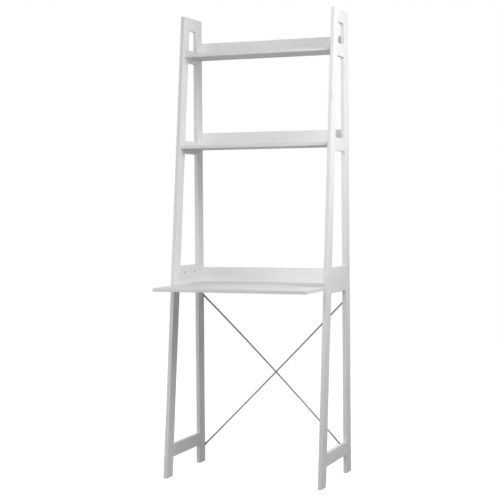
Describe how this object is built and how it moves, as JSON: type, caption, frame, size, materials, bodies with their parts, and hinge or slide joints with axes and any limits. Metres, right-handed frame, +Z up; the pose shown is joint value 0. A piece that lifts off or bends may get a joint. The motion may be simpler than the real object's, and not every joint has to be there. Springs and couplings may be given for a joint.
{
  "type": "ladder desk",
  "caption": "Leaning ladder desk: two side frames hold two narrow shelves and a deeper desk top, each with a rail along its back, and crossed rods brace the legs.",
  "frame": {"origin": "on the floor, at the middle of the desk's own box in X and Y", "axes": "+X to the right of someone who faces the desk, +Y to its back, +Z up"},
  "size_m": [0.64, 0.5199, 1.8],
  "materials": {
    "lacquered_wood": "white satin lacquer sprayed on solid wood, edges eased",
    "lacquered_board": "white satin lacquer sprayed on fibreboard",
    "beech_dowel": "plain turned beech",
    "zinc_steel": "bright zinc plating",
    "cam_zinc": "plain die-cast zinc",
    "rod_steel": "dull nickel-grey plating on drawn steel rod"
  },
  "bodies": {
    "root": {"left_upper_front_stile": "lacquered_wood", "left_upper_rear_stile": "lacquered_wood", "left_top_rail": "lacquered_wood", "left_upper_shelf_rail": "lacquered_wood", "left_middle_shelf_rail": "lacquered_wood", "left_upper_base_rail": "lacquered_wood", "left_front_leg": "lacquered_wood", "left_rear_leg": "lacquered_wood", "left_desk_rail": "lacquered_wood", "left_stretcher": "lacquered_wood", "left_upper_frame_dowels": "beech_dowel", "left_lower_frame_dowels": "beech_dowel", "left_split_dowels": "beech_dowel", "left_frame_bolts": "zinc_steel", "left_barrel_nuts": "zinc_steel", "right_upper_front_stile": "lacquered_wood", "right_upper_rear_stile": "lacquered_wood", "right_top_rail": "lacquered_wood", "right_upper_shelf_rail": "lacquered_wood", "right_middle_shelf_rail": "lacquered_wood", "right_upper_base_rail": "lacquered_wood", "right_front_leg": "lacquered_wood", "right_rear_leg": "lacquered_wood", "right_desk_rail": "lacquered_wood", "right_stretcher": "lacquered_wood", "right_upper_frame_dowels": "beech_dowel", "right_lower_frame_dowels": "beech_dowel", "right_split_dowels": "beech_dowel", "right_frame_bolts": "zinc_steel", "right_barrel_nuts": "zinc_steel", "top_shelf": "lacquered_board", "top_back_rail": "lacquered_board", "top_shelf_cams": "cam_zinc", "top_shelf_cam_bolts": "zinc_steel", "top_shelf_dowels": "beech_dowel", "top_back_rail_screws": "zinc_steel", "middle_shelf": "lacquered_board", "middle_back_rail": "lacquered_board", "middle_shelf_cams": "cam_zinc", "middle_shelf_cam_bolts": "zinc_steel", "middle_shelf_dowels": "beech_dowel", "middle_back_rail_screws": "zinc_steel", "desk_top": "lacquered_board", "desk_back_rail": "lacquered_board", "desk_top_cams": "cam_zinc", "desk_top_cam_bolts": "zinc_steel", "desk_top_dowels": "beech_dowel", "desk_back_rail_screws": "zinc_steel", "falling_brace_rod": "rod_steel", "rising_brace_rod": "rod_steel", "brace_screws": "zinc_steel"}
  },
  "joints": []
}
